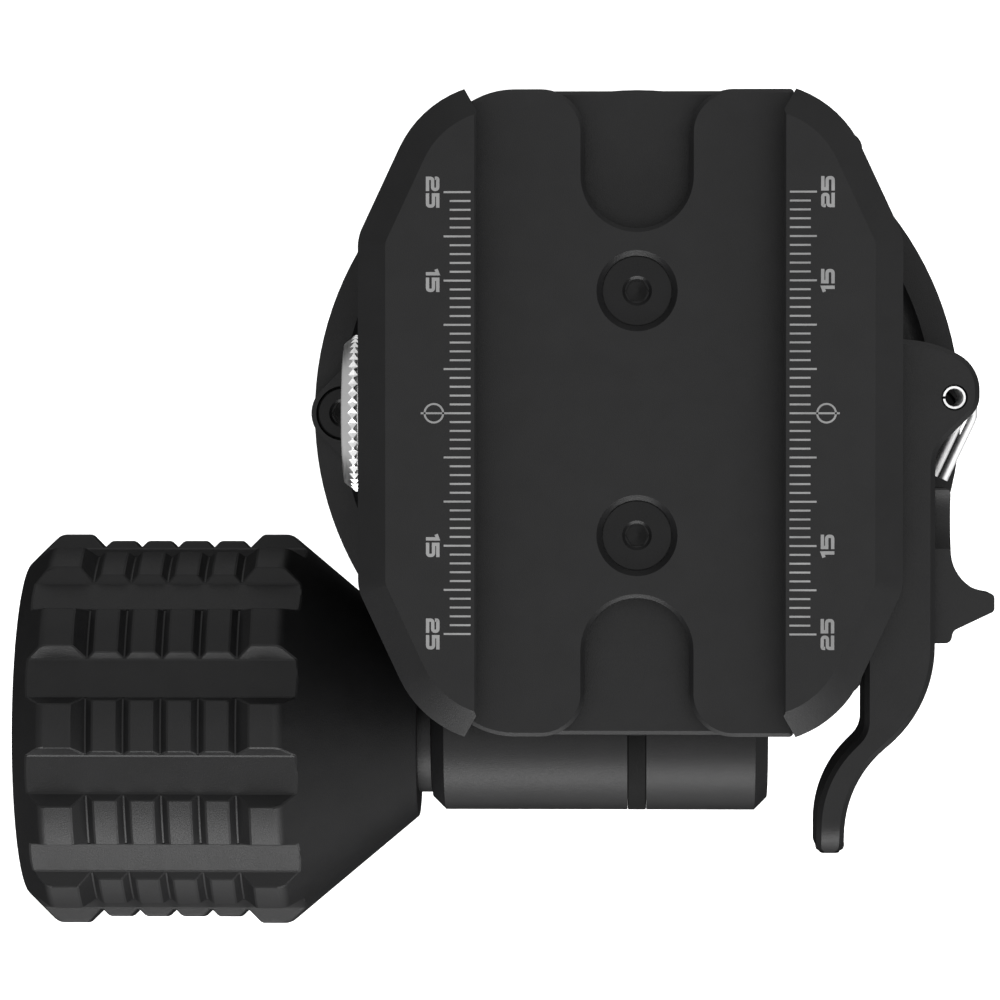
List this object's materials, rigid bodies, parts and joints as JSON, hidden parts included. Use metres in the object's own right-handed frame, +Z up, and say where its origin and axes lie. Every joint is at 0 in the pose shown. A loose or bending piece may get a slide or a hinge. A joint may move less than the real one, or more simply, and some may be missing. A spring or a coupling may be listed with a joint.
{
  "type": "ball head",
  "caption": "Low ball head with a split clamping collar, a large ribbed side knob and a lever-operated dovetail clamp that has a thumbwheel and a safety latch.",
  "frame": {"origin": "centre of the tripod thread at the underside of the base plate", "axes": "+Z up along the ball stem, +X towards the lever, -Y towards the big knob, +Y along the dovetail channel"},
  "size_m": [0.1151, 0.1005, 0.079],
  "materials": {
    "black_anodised": "bead-blasted black anodise, satin",
    "stainless": "turned and polished",
    "black_steel": "black oxide",
    "ball_finish": "hard anodised, fine turned",
    "bronze": "machined bronze",
    "rubber": "matte",
    "liner": "acetal, matte"
  },
  "bodies": {
    "base": {"base_plate": "black_anodised", "thread_insert": "stainless", "ball_stem": "ball_finish", "base_screws": "black_steel"},
    "bearing_cup": {"bearing_cup": "liner"},
    "bearing_ring": {"bearing_ring": "liner"},
    "housing": {"housing": "black_anodised", "upper_seat": "bronze", "top_cap": "black_anodised", "cap_screws": "black_steel", "slot_seal": "rubber", "stud_nut": "black_steel", "clamp_base": "black_anodised", "clamp_screws": "black_steel", "jaw_guide_pins": "stainless", "jaw_springs": "stainless", "wheel_washer": "bronze"},
    "knob": {"knob": "black_anodised", "knob_cap": "black_anodised", "clamp_stud": "black_steel", "knob_set_screw": "black_steel", "thrust_collar": "black_anodised"},
    "thumbwheel": {"thumbwheel": "stainless"},
    "draw_bar": {"draw_bar": "black_steel", "lever_pivot_pin": "stainless"},
    "moving_jaw": {"moving_jaw": "black_anodised", "jaw_bushes": "bronze", "wear_plate": "stainless"},
    "lever": {"lever": "black_anodised", "latch_pin": "stainless", "latch_springs": "stainless"},
    "latch": {"latch": "black_anodised"}
  },
  "joints": [
    {"name": "tilt_x", "type": "hinge", "parent": "base", "child": "bearing_cup", "pos_m": [0, 0, 0.037], "axis": [1, 0, 0], "range_deg": [-24, 24]},
    {"name": "tilt_y", "type": "hinge", "parent": "bearing_cup", "child": "bearing_ring", "pos_m": [0, 0, 0.037], "axis": [0, 1, 0], "range_deg": [-24, 24]},
    {"name": "pan", "type": "hinge", "parent": "bearing_ring", "child": "housing", "pos_m": [0, 0, 0.037], "axis": [0, 0, 1], "continuous": true},
    {"name": "knob_turn", "type": "hinge", "parent": "housing", "child": "knob", "pos_m": [-0.05, -0.03856, 0.037], "axis": [-1, 0, 0], "range_deg": [0, 270]},
    {"name": "wheel_turn", "type": "hinge", "parent": "housing", "child": "thumbwheel", "pos_m": [-0.0316, 0, 0.065], "axis": [-1, 0, 0], "range_deg": [0, 720]},
    {"name": "bar_slide", "type": "slide", "parent": "housing", "child": "draw_bar", "axis": [1, 0, 0], "range_m": [0, 0.0016]},
    {"name": "lever_swing", "type": "hinge", "parent": "draw_bar", "child": "lever", "pos_m": [0.0306, 0.004, 0.065], "axis": [0, 0, 1], "range_deg": [0, 100]},
    {"name": "jaw_slide", "type": "slide", "parent": "housing", "child": "moving_jaw", "axis": [1, 0, 0], "range_m": [0, 0.003]},
    {"name": "latch_press", "type": "hinge", "parent": "lever", "child": "latch", "pos_m": [0.0363, 0.0018, 0.065], "axis": [0, 0, -1], "range_deg": [0, 5], "stiffness_Nm_per_rad": 0.2, "springref_deg": -5.73}
  ],
  "couplings": [
    {"joint": "wheel_turn", "follows": "bar_slide", "rad_per_m": 7854},
    {"joint": "jaw_slide", "follows": "lever_swing", "m_per_rad": 0.0017188}
  ]
}
